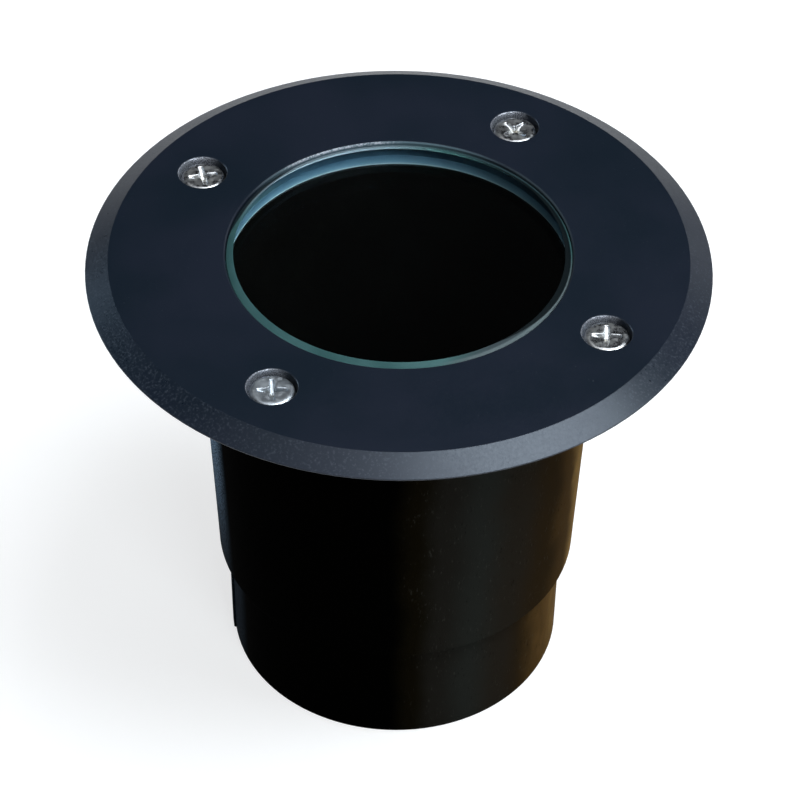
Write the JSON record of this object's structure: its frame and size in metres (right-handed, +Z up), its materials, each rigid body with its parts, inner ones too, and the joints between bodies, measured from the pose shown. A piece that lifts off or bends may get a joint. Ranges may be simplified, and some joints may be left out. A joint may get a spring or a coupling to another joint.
{
  "type": "in ground well light",
  "caption": "Round recessed ground light: bevelled screw-down trim ring over thick glass, black housing with lampholder and cable gland, in a stepped mounting sleeve.",
  "frame": {"origin": "centre of the mounting sleeve's base, at ground-hole depth", "axes": "+Z up through the glass, -Y is the side that the picture looks from"},
  "size_m": [0.11, 0.11, 0.092],
  "materials": {
    "trim_paint": "satin powder coat, dark navy black, fine orange peel",
    "housing_paint": "matt black paint on a die casting",
    "sleeve_plastic": "fine-grained black moulding",
    "stainless": "bright stainless, turned and worn",
    "washer_nylon": "natural nylon",
    "lens_glass": "clear toughened glass, ground arris",
    "silicone": "translucent silicone",
    "ceramic": "unglazed steatite",
    "insulator": "mica laminate",
    "contact_brass": "plain brass",
    "zinc_steel": "bright zinc plating",
    "lead_silicone_brown": "silicone sleeve",
    "lead_silicone_blue": "silicone sleeve",
    "crimp_plastic": "nylon crimp sleeve",
    "gland_plastic": "black nylon",
    "black_rubber": "black rubber"
  },
  "bodies": {
    "sleeve": {"mounting_sleeve": "sleeve_plastic"},
    "luminaire": {"housing": "housing_paint", "lampholder_body": "ceramic", "lampholder_contacts": "contact_brass", "lampholder_backplate": "insulator", "lampholder_screws": "zinc_steel", "lampholder_bracket": "zinc_steel", "bracket_screws": "zinc_steel", "live_lead": "lead_silicone_brown", "neutral_lead": "lead_silicone_blue", "lead_crimps": "crimp_plastic", "earth_lug": "contact_brass", "earth_washer": "zinc_steel", "earth_screw": "contact_brass", "gland_body": "gland_plastic", "gland_gasket": "black_rubber", "gland_locknut": "gland_plastic", "gland_seal": "black_rubber"},
    "trim": {"trim_ring": "trim_paint"},
    "glass": {"lens": "lens_glass", "lens_gasket": "silicone"},
    "screws": {"trim_screws": "stainless", "trim_screw_washers": "washer_nylon"},
    "cable_clamp": {"gland_nut": "gland_plastic"}
  },
  "joints": [
    {"name": "luminaire_lift", "type": "slide", "parent": "sleeve", "child": "luminaire", "axis": [0, 0, 1], "range_m": [0, 0.085]},
    {"name": "trim_lift", "type": "slide", "parent": "luminaire", "child": "trim", "axis": [0, 0, 1], "range_m": [0, 0.06]},
    {"name": "lens_lift", "type": "slide", "parent": "luminaire", "child": "glass", "axis": [0, 0, 1], "range_m": [0, 0.03]},
    {"name": "screws_withdraw", "type": "slide", "parent": "trim", "child": "screws", "axis": [0, 0, 1], "range_m": [0, 0.014]},
    {"name": "gland_nut_turn", "type": "hinge", "parent": "luminaire", "child": "cable_clamp", "pos_m": [0, 0, 0.0068], "axis": [0, 0, -1], "range_deg": [0, 1080]}
  ],
  "couplings": [
    {"joint": "lens_lift", "follows": "trim_lift", "ratio": 0.5}
  ]
}
